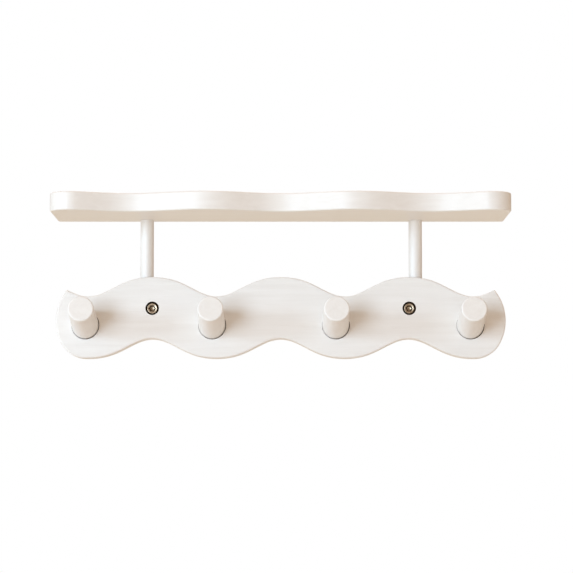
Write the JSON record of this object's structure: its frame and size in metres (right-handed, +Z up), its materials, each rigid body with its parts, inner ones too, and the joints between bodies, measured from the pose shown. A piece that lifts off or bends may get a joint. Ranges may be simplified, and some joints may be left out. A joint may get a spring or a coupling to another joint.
{
  "type": "wall hook rack with shelf",
  "caption": "Wave-shaped wall board with upward-tilted round pegs, two round posts carrying a narrow wave-fronted shelf, and two socket-head wall screws.",
  "frame": {"origin": "on the wall plane (the board's back face), midway between the two wall screws", "axes": "+X along the rack to the viewer's right, +Y into the wall, +Z up"},
  "size_m": [0.4052, 0.138, 0.1416],
  "materials": {
    "white_wood": "satin white paint with faint grain",
    "bronze": "antique bronze plating",
    "zinc_steel": "zinc plated"
  },
  "bodies": {
    "root": {"backboard": "white_wood", "shelf": "white_wood", "post_left": "white_wood", "post_right": "white_wood", "peg_1": "white_wood", "peg_2": "white_wood", "peg_3": "white_wood", "peg_4": "white_wood", "peg_screw_1": "zinc_steel", "peg_screw_2": "zinc_steel", "peg_screw_3": "zinc_steel", "peg_screw_4": "zinc_steel", "wall_screw_left": "bronze", "wall_screw_right": "bronze"}
  },
  "joints": []
}
